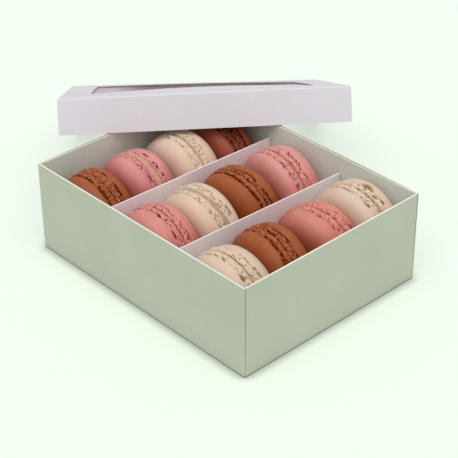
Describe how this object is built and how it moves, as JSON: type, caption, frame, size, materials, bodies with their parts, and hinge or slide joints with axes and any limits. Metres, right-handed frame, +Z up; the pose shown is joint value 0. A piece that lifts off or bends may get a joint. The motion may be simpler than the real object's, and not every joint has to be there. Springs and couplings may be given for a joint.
{
  "type": "macaron window box",
  "caption": "Open card box of macarons on edge, in rows between card dividers, with a shallow window lid that leans on one corner of the tray.",
  "frame": {"origin": "centre of the tray's underside", "axes": "+Z up; +X along the rows, from the near wall to the far wall; +Y across the rows, towards the first row"},
  "size_m": [0.2159, 0.2555, 0.0678],
  "materials": {
    "tray_card": "matt sage green card, greyer inside",
    "divider_card": "thin matt card, pale lilac grey",
    "lid_card": "matt card, very pale lilac",
    "window_film": "clear thin film",
    "brown_shell": "baked almond shell, smooth satin dome and ragged pitted foot, caramel brown",
    "pink_shell": "baked almond shell, smooth satin dome and ragged pitted foot, rose pink",
    "cream_shell": "baked almond shell, smooth satin dome and ragged pitted foot, cream",
    "brown_filling": "soft dark chocolate cream",
    "pink_filling": "soft beige pink cream",
    "cream_filling": "soft beige cream"
  },
  "bodies": {
    "root": {"tray": "tray_card", "divider_left": "divider_card", "divider_right": "divider_card", "lid": "lid_card", "window_film": "window_film", "macaron_1_1_brown_near_shell": "brown_shell", "macaron_1_1_brown_filling": "brown_filling", "macaron_1_1_brown_far_shell": "brown_shell", "macaron_1_2_pink_near_shell": "pink_shell", "macaron_1_2_pink_filling": "pink_filling", "macaron_1_2_pink_far_shell": "pink_shell", "macaron_1_3_cream_near_shell": "cream_shell", "macaron_1_3_cream_filling": "cream_filling", "macaron_1_3_cream_far_shell": "cream_shell", "macaron_1_4_brown_near_shell": "brown_shell", "macaron_1_4_brown_filling": "brown_filling", "macaron_1_4_brown_far_shell": "brown_shell", "macaron_2_1_pink_near_shell": "pink_shell", "macaron_2_1_pink_filling": "pink_filling", "macaron_2_1_pink_far_shell": "pink_shell", "macaron_2_2_cream_near_shell": "cream_shell", "macaron_2_2_cream_filling": "cream_filling", "macaron_2_2_cream_far_shell": "cream_shell", "macaron_2_3_brown_near_shell": "brown_shell", "macaron_2_3_brown_filling": "brown_filling", "macaron_2_3_brown_far_shell": "brown_shell", "macaron_2_4_pink_near_shell": "pink_shell", "macaron_2_4_pink_filling": "pink_filling", "macaron_2_4_pink_far_shell": "pink_shell", "macaron_3_1_cream_near_shell": "cream_shell", "macaron_3_1_cream_filling": "cream_filling", "macaron_3_1_cream_far_shell": "cream_shell", "macaron_3_2_brown_near_shell": "brown_shell", "macaron_3_2_brown_filling": "brown_filling", "macaron_3_2_brown_far_shell": "brown_shell", "macaron_3_3_pink_near_shell": "pink_shell", "macaron_3_3_pink_filling": "pink_filling", "macaron_3_3_pink_far_shell": "pink_shell", "macaron_3_4_cream_near_shell": "cream_shell", "macaron_3_4_cream_filling": "cream_filling", "macaron_3_4_cream_far_shell": "cream_shell"}
  },
  "joints": []
}
